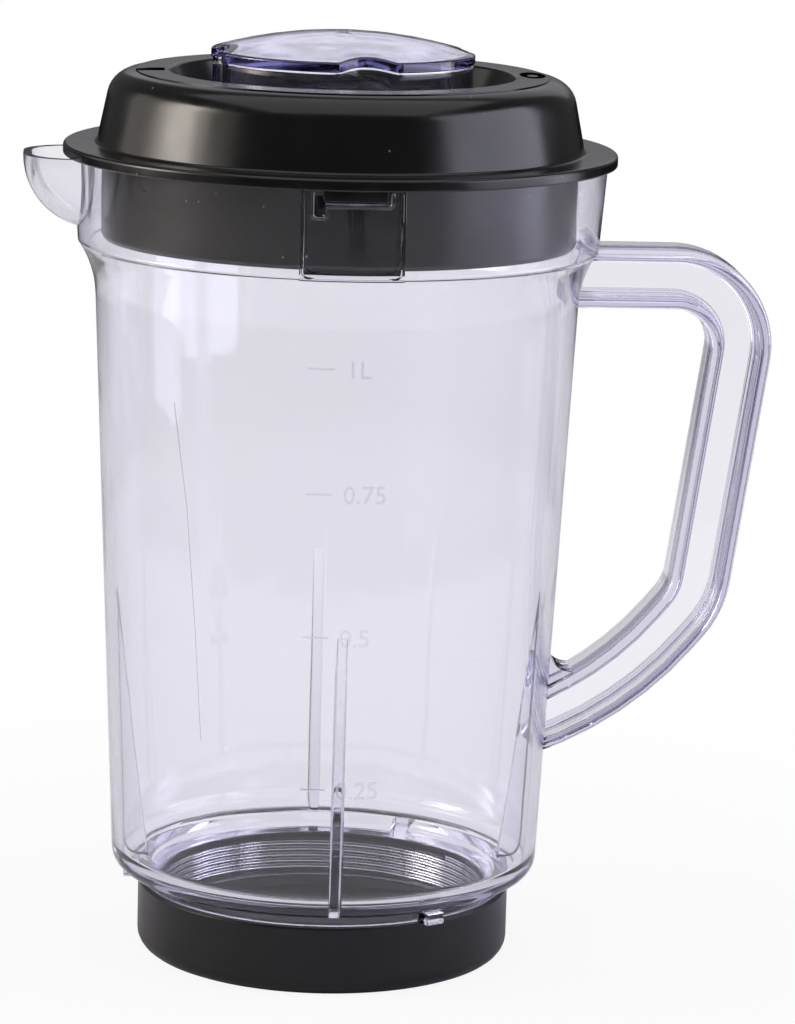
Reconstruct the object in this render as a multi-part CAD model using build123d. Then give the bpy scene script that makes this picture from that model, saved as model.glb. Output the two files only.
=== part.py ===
"""Blender jar: clear jar with handle and spout, black lid, clear filler cap and black screw base.

Millimetres. +Z up, origin on the jar's axis at the underside of the base cap.
The handle points to +X, the spout to -X and the graduated front to -Y.
"""
import os
from math import cos, radians, sin, tan

from build123d import *

# Base cap: closed screw cap that makes the floor of the jar
cap_radius = 42.5
cap_height = 16.0
cap_wall = 2.5
cap_floor = 4.0
cap_edge_radius = 4.0

# Base seal: flat rubber ring under the end of the neck
seal_thickness = 2.0
seal_width = 3.6
seal_side_gap = 0.3

# Jar neck, flange and shoulder
thread_space = 1.1
neck_wall = 2.0
flange_gap = 0.2
flange_height = 3.0
flange_inset = 0.6
shoulder_corner_radius = 3.0
floor_thickness = 2.3
funnel_run = 3.6
funnel_drop = 3.6
funnel_corner_radius = 1.8
floor_corner_radius = 1.85

# Jar body, flare and collar
wall = 2.3
body_bottom_radius = 48.5
body_top_radius = 54.2
body_height = 131.8
flare_height = 12.2
collar_height = 19.2
collar_draft = 1.45
rim_radius = 59.75

# Locking lugs on the flange
lug_count = 3
lug_start_angle = 60.0
lug_width = 4.6
lug_height = 2.7
lug_reach = 3.4

# Ribs inside the jar
rib_count = 4
rib_width = 2.4
rib_depth = 5.8
rib_height = 62.0

# Spout
spout_reach = 10.9
spout_depth = 16.7
spout_width = 29.2
spout_corner_share = 0.75
spout_levels = 5
spout_sweep = 78.0
spout_wall = 1.9

# Handle: an I-beam bent along the finger gap
handle_depth = 13.7
handle_width = 15.0
handle_flange = 3.3
handle_web = 3.0
handle_edge_radius = 1.4
handle_top_drop = 25.4
handle_corner_reach = 93.4
handle_top_bend = 15.4
handle_lean = 7.8
handle_grip_height = 73.5
handle_low_bend = 17.0
handle_tail_angle = 50.5
handle_tail_run = 5.6
handle_foot_reach = 44.5
handle_foot_height = 53.4
handle_root_radius = 5.0
handle_root_bite = 0.6
handle_root_width = 10.8

# Front pad with the slot for the lid's key
pad_width = 21.4
pad_proud = 0.4
slot_width = 15.0
slot_depth = 3.1
pocket_width = 4.0
pocket_depth = 5.6
pocket_roof = 1.0
pocket_overlap = 0.8

# Lid
skirt_gap = 0.6
skirt_height = 17.9
skirt_lead_height = 2.0
skirt_lead_depth = 1.0
lid_wall = 2.2
lid_overhang = 2.15
lid_flange_thickness = 2.6
crown_step = 1.1
crown_draft = 2.0
crown_height = 16.4
crown_edge_radius = 5.0
recess_gap = 4.1
recess_edge_radius = 1.0
recess_draft = 5.0
recess_depth = 10.8
hole_radius = 25.8
key_side_gap = 0.5
key_end_gap = 0.4

# Filler cap
filler_radius = 29.4
filler_edge_height = 15.6
filler_dome_rise = 4.4
filler_wall = 2.2
filler_floor = 2.0
filler_corner_radius = 1.5
filler_top_edge_radius = 0.8
scallop_count = 3
scallop_start_angle = 38.0
scallop_width = 12.0
scallop_depth = 3.5
collar_gap = 0.4
collar_wall = 1.8
collar_length = 6.0
gate_radius = 2.3
gate_depth = 0.6

# Heights and radii that follow from the sizes above
cap_inner_radius = cap_radius - cap_wall
neck_end_z = cap_floor + seal_thickness
neck_radius = cap_inner_radius - thread_space
bore_radius = neck_radius - neck_wall
flange_z = cap_height + flange_gap
flange_radius = cap_radius - flange_inset
shoulder_z = flange_z + flange_height
floor_z = shoulder_z + floor_thickness
flare_z = shoulder_z + body_height
collar_z = flare_z + flare_height
rim_z = collar_z + collar_height
collar_bottom_radius = rim_radius - collar_draft
skirt_radius = collar_bottom_radius - wall - skirt_gap
skirt_end_z = rim_z - skirt_height
lid_flange_radius = rim_radius + lid_overhang
lid_flange_top_z = rim_z + lid_flange_thickness
crown_bottom_radius = skirt_radius - crown_step
crown_top_radius = crown_bottom_radius - crown_draft
crown_z = lid_flange_top_z + crown_height
recess_floor_radius = filler_radius + recess_gap
recess_radius = recess_floor_radius + recess_draft
recess_z = crown_z - recess_depth
body_taper = (body_top_radius - body_bottom_radius) / body_height
pad_radius = rim_radius + pad_proud


def section(points):
    """Closed outline of (radius, height) points in the XZ plane."""
    return Plane.XZ * make_face(Polyline(*points, close=True))


def round_corner(face, radius_and_height, size):
    """Round the corner of an XZ outline that lies at the given radius and height."""
    corner = Vector(radius_and_height[0], 0, radius_and_height[1])
    return fillet(face.vertices().sort_by_distance(corner)[0], size)


def base_cap():
    outer_bottom = (cap_radius, 0)
    outline = section([
        (0, 0),
        outer_bottom,
        (cap_radius, cap_height),
        (cap_inner_radius, cap_height),
        (cap_inner_radius, cap_floor),
        (0, cap_floor),
    ])
    outline = round_corner(outline, outer_bottom, cap_edge_radius)
    return revolve(outline, Axis.Z)


def base_seal():
    outer = cap_inner_radius - seal_side_gap
    ring = Circle(outer) - Circle(outer - seal_width)
    return Pos(0, 0, cap_floor) * extrude(ring, seal_thickness)


def flared_section(low_points, flare_bottom, flare_top, high_points):
    """Outline whose body line sweeps out along a tangent arc into the collar."""
    low_line = Polyline(*low_points, flare_bottom)
    flare = TangentArc(flare_bottom, flare_top, tangent=(body_taper, 1))
    high_line = Polyline(flare_top, *high_points, low_points[0])
    return Plane.XZ * make_face([*low_line.edges(), flare, *high_line.edges()])


def jar_outside():
    """Solid of revolution inside the jar's outer skin."""
    shoulder = (body_bottom_radius, shoulder_z)
    outline = flared_section(
        [
            (0, neck_end_z),
            (neck_radius, neck_end_z),
            (neck_radius, flange_z),
            (flange_radius, flange_z),
            (flange_radius, shoulder_z),
            shoulder,
        ],
        (body_top_radius, flare_z),
        (collar_bottom_radius, collar_z),
        [(rim_radius, rim_z), (0, rim_z)],
    )
    outline = round_corner(outline, shoulder, shoulder_corner_radius)
    return revolve(outline, Axis.Z)


def jar_inside():
    """Space inside the jar: bore, funnel, body, flare and collar."""
    floor_corner = (body_bottom_radius + body_taper * floor_thickness - wall, floor_z)
    funnel_top = (bore_radius + funnel_run, floor_z)
    outline = flared_section(
        [
            (0, neck_end_z),
            (bore_radius, neck_end_z),
            (bore_radius, floor_z - funnel_drop),
            funnel_top,
            floor_corner,
        ],
        (body_top_radius - wall, flare_z),
        (collar_bottom_radius - wall, collar_z),
        [(rim_radius - wall, rim_z), (0, rim_z)],
    )
    outline = round_corner(outline, funnel_top, funnel_corner_radius)
    outline = round_corner(outline, floor_corner, floor_corner_radius)
    return revolve(outline, Axis.Z)


def spout_scoop(inset):
    """Scoop of the spout, drawn in from its outer skin by the given inset.

    Each level is a plan with two rounded corners at the tip. Going down, the levels draw in
    like the latitudes of a ball, until they end inside the wall.
    """
    depth = spout_depth - inset
    middle = rim_radius + spout_reach - spout_depth
    levels = []
    for level in range(spout_levels):
        latitude = radians(spout_sweep * level / (spout_levels - 1))
        length = depth * cos(latitude) + wall
        half_width = (spout_width / 2 - inset) * cos(latitude)
        plan = Rectangle(length, 2 * half_width, align=(Align.MAX, Align.CENTER))
        tip_corners = plan.vertices().group_by(Axis.X)[0]
        plan = fillet(tip_corners, spout_corner_share * half_width)
        levels.append(Pos(wall - middle, 0, rim_z - depth * sin(latitude)) * plan)
    return loft(levels)


def handle_path():
    """Centre line of the handle in the XZ plane: the bent grip, then the tail that runs into the lower wall."""
    top_z = rim_z - handle_top_drop
    grip_bottom = top_z - handle_grip_height
    corner_low = handle_corner_reach - handle_grip_height * tan(radians(handle_lean))
    tail_drop = handle_tail_run * tan(radians(handle_tail_angle))
    grip = FilletPolyline(
        (body_top_radius - wall, top_z),
        (handle_corner_reach, top_z),
        (corner_low, grip_bottom),
        (corner_low - handle_tail_run, grip_bottom - tail_drop),
        radius=[handle_top_bend, handle_low_bend],
    )
    tail = TangentArc(grip @ 1, (handle_foot_reach, handle_foot_height), tangent=grip % 1)
    return grip, tail


def handle():
    """I-beam swept along the handle's centre line, from the collar round to the lower wall."""
    grip, tail = handle_path()
    path = Plane.XZ * Wire([*grip.edges(), tail])
    beam = RectangleRounded(handle_width, handle_depth, handle_edge_radius)
    pocket_depth_each = (handle_width - handle_web) / 2
    pocket_height = handle_depth - 2 * handle_flange
    pockets = Locations((handle_width / 2, 0), (-handle_width / 2, 0))
    beam -= pockets * Rectangle(2 * pocket_depth_each, pocket_height)
    start = Plane(path @ 0, x_dir=(0, 1, 0), z_dir=path % 0)
    return sweep(start * beam, path)


def handle_root():
    """Fillet in the corner between the wall and the finger side of the handle's tail, let into both."""
    tail = handle_path()[1]
    body_side = make_face(Polyline(
        (0, shoulder_z),
        (body_bottom_radius - handle_root_bite, shoulder_z),
        (body_top_radius - handle_root_bite, flare_z),
        (0, flare_z),
        close=True,
    ))
    sharp = body_side + trace(tail, handle_depth - 2 * handle_root_bite)
    finger_side = Vector(body_top_radius, handle_foot_height + handle_depth)
    corner = sharp.vertices().sort_by_distance(finger_side)[0]
    web = fillet(corner, handle_root_radius) - sharp
    return extrude(Plane.XZ * web, handle_root_width / 2, both=True)


def ribs():
    foot = body_bottom_radius - wall
    outline = section([
        (foot - rib_depth, shoulder_z + floor_thickness / 2),
        (foot + wall / 2, shoulder_z + floor_thickness / 2),
        (foot + wall / 2 + body_taper * rib_height, floor_z + rib_height),
        (foot - rib_depth, floor_z),
    ])
    rib = extrude(outline, rib_width / 2, both=True)
    return Part() + PolarLocations(0, rib_count) * rib


def lugs():
    reach = cap_radius + lug_reach
    lug = Pos(0, 0, flange_z) * Box(
        reach, lug_width, lug_height, align=(Align.MIN, Align.CENTER, Align.MIN)
    )
    hollow = Cylinder(neck_radius, rim_z)
    return Part() + PolarLocations(0, lug_count, lug_start_angle) * lug - hollow


def front_pad():
    drum = Pos(0, 0, collar_z) * Cylinder(
        pad_radius, collar_height, align=(Align.CENTER, Align.CENTER, Align.MIN)
    )
    front = Pos(0, 0, collar_z) * Box(
        pad_width, pad_radius, collar_height, align=(Align.CENTER, Align.MAX, Align.MIN)
    )
    return drum & front


def slot():
    """Mouth open at the rim, with a deeper pocket under the rim at its spout end."""
    mouth = Pos(0, 0, rim_z) * Box(
        slot_width, pad_radius, 2 * slot_depth, align=(Align.CENTER, Align.MAX, Align.CENTER)
    )
    pocket = Pos(pocket_overlap - slot_width / 2, 0, rim_z - pocket_depth) * Box(
        pocket_width, pad_radius, pocket_depth - pocket_roof, align=(Align.MAX, Align.MAX, Align.MIN)
    )
    return mouth + pocket


def jar():
    outside = jar_outside()
    body = outside + spout_scoop(0) + handle() + handle_root() + front_pad() + lugs()
    body -= jar_inside()
    body -= spout_scoop(spout_wall)
    body -= slot()
    return body + (ribs() & outside)


def lid():
    skirt_inner = skirt_radius - lid_wall
    crown_corner = (crown_top_radius, crown_z)
    recess_corner = (recess_radius, crown_z)
    under_crown = (crown_top_radius - lid_wall, crown_z - lid_wall)
    outline = section([
        (skirt_inner, skirt_end_z),
        (skirt_radius - skirt_lead_depth, skirt_end_z),
        (skirt_radius, skirt_end_z + skirt_lead_height),
        (skirt_radius, rim_z),
        (lid_flange_radius, rim_z),
        (lid_flange_radius, lid_flange_top_z),
        (crown_bottom_radius, lid_flange_top_z),
        crown_corner,
        recess_corner,
        (recess_floor_radius, recess_z),
        (hole_radius, recess_z),
        (hole_radius, recess_z - lid_wall),
        (recess_floor_radius + lid_wall, recess_z - lid_wall),
        (recess_radius + lid_wall, crown_z - lid_wall),
        under_crown,
        (crown_bottom_radius - lid_wall, lid_flange_top_z),
        (skirt_inner, rim_z),
    ])
    outline = round_corner(outline, crown_corner, crown_edge_radius)
    outline = round_corner(outline, under_crown, crown_edge_radius - lid_wall)
    outline = round_corner(outline, recess_corner, recess_edge_radius)
    key = Pos(0, 0, rim_z) * Box(
        slot_width - 2 * key_side_gap,
        pad_radius,
        slot_depth - key_end_gap,
        align=(Align.CENTER, Align.MAX, Align.MAX),
    )
    key &= Cylinder(pad_radius, 2 * rim_z)
    key -= Cylinder(skirt_radius - lid_wall / 2, 2 * rim_z)
    return revolve(outline, Axis.Z) + key


def filler_plan(inset):
    """Round plan with finger scallops, drawn in from its outer skin by the given inset."""
    scallop_radius = ((scallop_width / 2) ** 2 + scallop_depth ** 2) / (2 * scallop_depth)
    scallop_centre = filler_radius - scallop_depth + scallop_radius
    scallops = PolarLocations(scallop_centre, scallop_count, scallop_start_angle)
    plan = Circle(filler_radius - inset) - scallops * Circle(scallop_radius + inset)
    return fillet(plan.vertices(), filler_corner_radius)


def filler_cap():
    """Scalloped cup under a shallow dome, with a collar that goes down through the lid."""
    seat_z = recess_z
    edge_z = seat_z + filler_edge_height
    dome_top_z = edge_z + filler_dome_rise
    dome_radius = (filler_radius ** 2 + filler_dome_rise ** 2) / (2 * filler_dome_rise)
    collar_radius = hole_radius - collar_gap
    height = dome_top_z - seat_z
    edge = (filler_radius, edge_z)
    sides = Polyline((0, dome_top_z), (0, seat_z), (filler_radius, seat_z), edge)
    dome = TangentArc((0, dome_top_z), edge, tangent=(1, 0))
    outline = Plane.XZ * make_face([*sides.edges(), dome])
    outline = round_corner(outline, edge, filler_top_edge_radius)
    shell = Pos(0, 0, seat_z) * extrude(filler_plan(0), height)
    shell &= revolve(outline, Axis.Z)
    hollow = Pos(0, 0, seat_z + filler_floor) * extrude(filler_plan(filler_wall), height)
    hollow &= Pos(0, 0, dome_top_z - dome_radius) * Sphere(dome_radius - filler_wall)
    low_end = (Align.CENTER, Align.CENTER, Align.MIN)
    collar = Pos(0, 0, seat_z - collar_length) * Cylinder(collar_radius, collar_length, align=low_end)
    throat = Pos(0, 0, seat_z - collar_length) * Cylinder(
        collar_radius - collar_wall, collar_length + 2 * filler_floor, align=low_end
    )
    gate = Pos(0, 0, dome_top_z - gate_depth) * Cylinder(gate_radius, filler_wall, align=low_end)
    return shell + collar - hollow - throat - gate


os.makedirs("parts", exist_ok=True)
pieces = {
    "base_cap": base_cap(),
    "base_seal": base_seal(),
    "jar": jar(),
    "lid": lid(),
    "filler_cap": filler_cap(),
}
for name, piece in pieces.items():
    export_step(piece, f"parts/{name}.step")
    print(name, round(piece.volume / 1000, 2), "cm3", len(piece.solids()), "solid")
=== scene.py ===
from math import atan2, cos, hypot, pi, radians, sin, sqrt, tan

import bmesh
import bpy
from mathutils import Matrix, Vector


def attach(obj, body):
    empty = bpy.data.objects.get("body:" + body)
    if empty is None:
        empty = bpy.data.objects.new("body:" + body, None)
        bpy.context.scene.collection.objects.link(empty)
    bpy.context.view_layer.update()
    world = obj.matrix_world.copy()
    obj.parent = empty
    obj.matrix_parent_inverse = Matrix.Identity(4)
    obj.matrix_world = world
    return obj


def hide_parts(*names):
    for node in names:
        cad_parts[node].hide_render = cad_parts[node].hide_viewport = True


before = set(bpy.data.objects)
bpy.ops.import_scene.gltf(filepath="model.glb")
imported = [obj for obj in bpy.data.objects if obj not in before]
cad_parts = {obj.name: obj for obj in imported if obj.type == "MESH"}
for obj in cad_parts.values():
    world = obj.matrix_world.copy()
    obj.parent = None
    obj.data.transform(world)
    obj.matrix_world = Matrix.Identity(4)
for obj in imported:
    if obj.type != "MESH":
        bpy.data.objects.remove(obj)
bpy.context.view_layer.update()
mm = 0.001
weld = 0.002  # mm within which points become one
print("frame loaded:", ", ".join(sorted(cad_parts)))


def linear(hexCode):  # sRGB hex to the linear colour that a socket takes
    parts = [int(hexCode[i:i + 2], 16) / 255 for i in (1, 3, 5)]
    return [c / 12.92 if c < 0.04045 else ((c + 0.055) / 1.055) ** 2.4 for c in parts] + [1]


def addNode(tree, kind, inputs=None, **settings):  # an input is a plain value, or (node, output) to link
    node = tree.nodes.new("ShaderNode" + kind)
    for key, value in settings.items():
        setattr(node, key, value)
    for key, value in (inputs or {}).items():
        if isinstance(value, tuple) and isinstance(value[0], bpy.types.Node):
            tree.links.new(value[0].outputs[value[1]], node.inputs[key])
        else:
            node.inputs[key].default_value = value
    return node


def noise(tree, grainMm, detail):  # fixed to the piece, with a grain of about this many mm
    coords = addNode(tree, "TexCoord")
    return addNode(tree, "TexNoise", {
        "Vector": (coords, "Object"), "Scale": 1 / (grainMm * mm), "Detail": detail})


def fade(tree, value, edge, ends, **settings):  # from one end to the other as the value crosses the edge
    return addNode(tree, "MapRange", {
        "Value": value, "From Min": edge[0], "From Max": edge[1],
        "To Min": ends[0], "To Max": ends[1]}, **settings)


def blend(tree, factor, first, second):  # a Mix node has its colours at inputs 6 and 7 and output 2
    mix = addNode(tree, "Mix", {"Factor": factor, 6: linear(first), 7: linear(second)}, data_type="RGBA")
    return mix, 2


def newMaterial(name):
    material = bpy.data.materials.new(name)
    material.use_nodes = True
    material.node_tree.nodes.clear()
    return material, material.node_tree


# Clear SAN, injection moulded: bright and sharp, faintly rippled by the flow, violet where it is thick
clearSan = {
    "surface": "#FDFDFF",
    "shadow": "#F3F2F6",
    "ior": 1.57,
    "absorbed": "#8C82BC",  # what is left of white after a long way through
    "absorbPerMetre": 50,
    "rippleMm": 16,
    "rippleStrength": 0.06,
    "hazeMm": 3,
    "hazeSpread": (0.5, 0.75),
    "hazeRoughness": (0.015, 0.05),
}

# The same plastic where the mould was spark-eroded for the figures: a little grey and dull
erodedFigures = {"surface": "#F4F3F8", "hazeRoughness": (0.10, 0.20)}
# The same plastic on the filler cap, hazed by fingers
handledCap = {"hazeRoughness": (0.03, 0.10), "absorbed": "#7F76CC", "absorbPerMetre": 42}


def makeClearSan(name, look):
    material, tree = newMaterial(name)
    ripple = noise(tree, look["rippleMm"], detail=1.0)
    bump = addNode(tree, "Bump", {
        "Height": (ripple, "Fac"), "Strength": look["rippleStrength"], "Distance": mm})
    haze = noise(tree, look["hazeMm"], detail=4.0)
    rough = fade(tree, (haze, "Fac"), look["hazeSpread"], look["hazeRoughness"])
    shader = addNode(tree, "BsdfPrincipled", {
        "Base Color": linear(look["surface"]), "Transmission Weight": 1.0, "IOR": look["ior"],
        "Roughness": (rough, "Result"), "Normal": (bump, "Normal")})
    clear = addNode(tree, "BsdfTransparent", {"Color": linear(look["shadow"])})
    path = addNode(tree, "LightPath")
    lit = addNode(tree, "MixShader", {
        0: (path, "Is Shadow Ray"), 1: (shader, "BSDF"), 2: (clear, "BSDF")})
    inside = addNode(tree, "VolumeAbsorption", {
        "Color": linear(look["absorbed"]), "Density": look["absorbPerMetre"]})
    addNode(tree, "OutputMaterial", {"Surface": (lit, "Shader"), "Volume": (inside, "Volume")})
    return material


# Black ABS from a polished mould: deep gloss with soft edges to its reflections, fine scuffs and dust
glossAbs = {
    "black": "#0B0B0C",
    "dust": "#6E6C74",
    "ior": 1.53,
    "roughness": (0.18, 0.28),
    "scuffMm": 9,
    "scuffSpread": (0.35, 0.75),
    "dustMm": 5.5,
    "dustSize": 0.045,
    "peelMm": 2.2,
    "peelStrength": 0.008,
}


def makeGlossAbs(name, look):
    material, tree = newMaterial(name)
    scuff = noise(tree, look["scuffMm"], detail=3.0)
    rough = fade(tree, (scuff, "Fac"), look["scuffSpread"], look["roughness"])
    coords = addNode(tree, "TexCoord")
    speck = addNode(tree, "TexVoronoi", {
        "Vector": (coords, "Object"), "Scale": 1 / (look["dustMm"] * mm), "Randomness": 1.0})
    onSpeck = addNode(tree, "Math", {0: (speck, "Distance"), 1: look["dustSize"]}, operation="LESS_THAN")
    peel = noise(tree, look["peelMm"], detail=2.0)
    bump = addNode(tree, "Bump", {
        "Height": (peel, "Fac"), "Strength": look["peelStrength"], "Distance": mm})
    shader = addNode(tree, "BsdfPrincipled", {
        "Base Color": blend(tree, (onSpeck, "Value"), look["black"], look["dust"]), "IOR": look["ior"],
        "Roughness": (rough, "Result"), "Normal": (bump, "Normal")})
    addNode(tree, "OutputMaterial", {"Surface": (shader, "BSDF")})
    return material


# Black PP from a fine-grained mould: a satin that spreads every reflection wide
satinPp = {
    "black": "#0A0A0B",
    "worn": "#121214",
    "ior": 1.49,
    "specular": 0.36,
    "roughness": (0.30, 0.42),
    "grainMm": 0.7,
    "grainStrength": 0.05,
    "cloudMm": 12,
    "cloudSpread": (0.3, 0.7),
}


def makeSatinPp(name, look):
    material, tree = newMaterial(name)
    cloud = noise(tree, look["cloudMm"], detail=4.0)
    rough = fade(tree, (cloud, "Fac"), look["cloudSpread"], look["roughness"])
    grain = noise(tree, look["grainMm"], detail=2.0)
    bump = addNode(tree, "Bump", {
        "Height": (grain, "Fac"), "Strength": look["grainStrength"], "Distance": mm})
    shader = addNode(tree, "BsdfPrincipled", {
        "Base Color": blend(tree, (cloud, "Fac"), look["black"], look["worn"]),
        "IOR": look["ior"], "Specular IOR Level": look["specular"],
        "Roughness": (rough, "Result"), "Normal": (bump, "Normal")})
    addNode(tree, "OutputMaterial", {"Surface": (shader, "BSDF")})
    return material


# Moulded nitrile rubber: dull black with a slight grey bloom
nitrileRubber = {
    "black": "#1A1A1A",
    "bloom": "#2C2B2A",
    "ior": 1.52,
    "roughness": 0.75,
    "bloomMm": 4,
}


def makeRubber(name, look):
    material, tree = newMaterial(name)
    bloom = noise(tree, look["bloomMm"], detail=3.0)
    shader = addNode(tree, "BsdfPrincipled", {
        "Base Color": blend(tree, (bloom, "Fac"), look["black"], look["bloom"]),
        "IOR": look["ior"], "Roughness": look["roughness"]})
    addNode(tree, "OutputMaterial", {"Surface": (shader, "BSDF")})
    return material


clearJar = makeClearSan("clear SAN, moulded", clearSan)
dullFigures = makeClearSan("clear SAN, spark-eroded", {**clearSan, **erodedFigures})
clearCap = makeClearSan("clear SAN, worn by handling", {**clearSan, **handledCap})
blackGloss = makeGlossAbs("gloss black ABS", glossAbs)
blackSatin = makeSatinPp("satin black PP", satinPp)
blackRubber = makeRubber("black nitrile rubber", nitrileRubber)
print("materials made")


def roundedOutline(corners, steps=6):  # corners are (x, y) or (x, y, rounding), in mm
    outline = []
    for i, corner in enumerate(corners):
        here = Vector(corner[:2])
        if len(corner) == 2:
            outline.append(here)
            continue
        before = (Vector(corners[i - 1][:2]) - here).normalized()
        after = (Vector(corners[(i + 1) % len(corners)][:2]) - here).normalized()
        half = before.angle(after) / 2
        centre = here + (before + after).normalized() * corner[2] / sin(half)
        start = here + before * corner[2] / tan(half) - centre
        end = here + after * corner[2] / tan(half) - centre
        outline += [centre + start.slerp(end, k / steps) * corner[2] for k in range(steps + 1)]
    return outline


def closedRing(bm, points):  # a ring of edges through the points, in mm
    verts = [bm.verts.new(Vector(p) * mm) for p in points]
    return [bm.edges.new(pair) for pair in zip(verts, verts[1:] + verts[:1])]


def tidy(bm):  # one closed skin that faces outwards
    bmesh.ops.remove_doubles(bm, verts=bm.verts, dist=weld * mm)
    bmesh.ops.recalc_face_normals(bm, faces=bm.faces)
    return bm


def spun(corners, steps=180, rounding=6):  # (radius, height) corners, turned about the jar's axis
    bm = bmesh.new()
    outline = roundedOutline(corners, rounding)
    edges = closedRing(bm, [(r, 0, z) for r, z in outline])
    onAxis = [e for e in edges if all(abs(v.co.x) < 1e-9 for v in e.verts)]
    bmesh.ops.delete(bm, geom=onAxis, context="EDGES_FACES")
    bmesh.ops.spin(bm, geom=bm.verts[:] + bm.edges[:], cent=(0, 0, 0), axis=(0, 0, 1),
                   angle=2 * pi, steps=steps, use_merge=True)
    return tidy(bm)


def wound(corners, angle, steps, rise=0):  # the same, through an angle and up a rise, closed at both ends
    bm = bmesh.new()
    edges = closedRing(bm, [(r, 0, z) for r, z in corners])
    bmesh.ops.edgeloop_fill(bm, edges=edges)
    swept = bmesh.ops.spin(bm, geom=edges + bm.verts[:], cent=(0, 0, 0), axis=(0, 0, 1),
                           dvec=(0, 0, rise * mm / steps), angle=angle, steps=steps)
    last = [g for g in swept["geom_last"] if isinstance(g, bmesh.types.BMEdge)]
    bmesh.ops.edgeloop_fill(bm, edges=last)
    return tidy(bm)


def sector(corners, width, radius, middle, steps=14):  # wound through a width at the front
    span = width / radius
    return turned(wound(corners, span, steps), -90 - (span / 2 - middle / radius) * 180 / pi)


def helix(corners, pitch, turns, stepsPerTurn=72):  # wound up a screw
    return wound(corners, 2 * pi * turns, round(turns * stepsPerTurn), pitch * turns)


def lofted(bm, rings):  # a skin over a run of rings, closed at both ends
    for first, second in zip(rings, rings[1:]):
        bmesh.ops.bridge_loops(bm, edges=first + second)
    bmesh.ops.edgeloop_fill(bm, edges=rings[0])
    bmesh.ops.edgeloop_fill(bm, edges=rings[-1])
    return tidy(bm)


def block(low, high, rounding=0):  # a box between two corners in mm, with its edges rounded
    bm = bmesh.new()
    bmesh.ops.create_cube(bm, size=1)
    size = Vector(high) - Vector(low)
    bmesh.ops.scale(bm, vec=size * mm, verts=bm.verts)
    bmesh.ops.translate(bm, vec=(Vector(high) + Vector(low)) / 2 * mm, verts=bm.verts)
    if rounding:
        bmesh.ops.bevel(bm, geom=bm.edges[:], offset=rounding * mm, affect="EDGES", segments=3,
                        profile=0.5, material=-1)
    return bm


def prism(corners, low, high, upright=True):  # corners lie in XY and rise in Z, or in XZ and run along Y
    bm = bmesh.new()
    edges = closedRing(bm, [(x, y, low) if upright else (x, low, y) for x, y in corners])
    side = bmesh.ops.edgeloop_fill(bm, edges=edges)["faces"]
    moved = bmesh.ops.extrude_face_region(bm, geom=side)["geom"]
    along = Vector((0, 0, high - low) if upright else (0, high - low, 0)) * mm
    bmesh.ops.translate(bm, vec=along, verts=[g for g in moved if isinstance(g, bmesh.types.BMVert)])
    return tidy(bm)


def bead(points, radius, sides=8):  # a round bead along a run of points in mm
    bm = bmesh.new()
    rings = []
    turns = [2 * pi * k / sides for k in range(sides)]
    circle = [(radius * cos(a), radius * sin(a), 0) for a in turns]
    for i, point in enumerate(points):
        ahead = Vector(points[min(i + 1, len(points) - 1)]) - Vector(points[max(i - 1, 0)])
        turn = ahead.to_track_quat("Z", "Y").to_matrix()
        rings.append(closedRing(bm, [Vector(point) + turn @ Vector(c) for c in circle]))
    return lofted(bm, rings)


def turned(bm, degrees):  # about the jar's axis
    bmesh.ops.rotate(bm, verts=bm.verts, cent=(0, 0, 0), matrix=Matrix.Rotation(radians(degrees), 3, "Z"))
    return bm


def around(count, make, *sizes, first=0):  # so many of a feature to add, evenly spaced about the jar's axis
    return [("UNION", turned(make(*sizes), first + 360 * i / count)) for i in range(count)]


def newObject(bm, name):
    mesh = bpy.data.meshes.new(name)
    bm.to_mesh(mesh)
    bm.free()
    piece = bpy.data.objects.new(name, mesh)
    bpy.context.scene.collection.objects.link(piece)
    return piece


def combined(base, steps):  # steps are (operation, solid) pairs, done in turn
    body = newObject(base, "work")
    tools = []
    for operation, solid in steps:
        tools.append(newObject(solid, "work"))
        cut = body.modifiers.new(operation, "BOOLEAN")
        cut.operation = operation
        cut.solver = "MANIFOLD"
        cut.object = tools[-1]
    shown = body.evaluated_get(bpy.context.evaluated_depsgraph_get())
    result = bmesh.new()
    result.from_mesh(shown.data)
    for used in [body, *tools]:
        bpy.data.objects.remove(used)
    return tidy(result)


def finishPiece(bm, name, body, material, sharpDegrees=32):
    piece = newObject(bm, name)
    mesh = piece.data
    for face in mesh.polygons:
        face.use_smooth = True
    mesh.set_sharp_from_angle(angle=radians(sharpDegrees))
    mesh.materials.append(material)
    shading = piece.modifiers.new("broad faces stay flat", "WEIGHTED_NORMAL")
    shading.keep_sharp = True
    shading.weight = 100
    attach(piece, body)
    print(name, "has", len(mesh.polygons), "faces")
    return piece


# Jar: spun wall with a flare and a collar, then spout, handle, pad, lugs, thread and ribs
jarSizes = {
    "neckEnd": 6.0, "neckRadius": 38.9, "boreRadius": 36.9,
    "flangeBottom": 16.2, "flangeTop": 19.2, "flangeRadius": 42.5, "flangeRounding": 1.2,
    "shoulderRadius": 48.5, "shoulderRounding": 4.2,
    "floor": 21.5, "floorRounding": 4.0,
    "funnelRadius": 40.5, "funnelBottom": 17.9, "funnelRounding": (4.0, 4.8),
    "flareRadius": 54.49, "flareHeight": 157.69, "flareRounding": 23.2,
    "collarRadius": 58.3, "collarBottom": 163.2, "collarRounding": (0.4, 1.0),
    "rimRadius": 59.75, "rim": 182.4, "rimLead": 0.4, "wall": 2.3,
    "taper": 5.7 / 131.8,  # of the body's wall, mm out for each mm up
    "neckRounding": 0.5, "cornerRounding": 0.4,
}
spoutSizes = {
    "reach": 10.9, "depth": 16.7, "width": 29.2, "cornerShare": 0.75, "wall": 1.9,
    "levels": 14, "lowestLatitude": 84,
}
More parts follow.
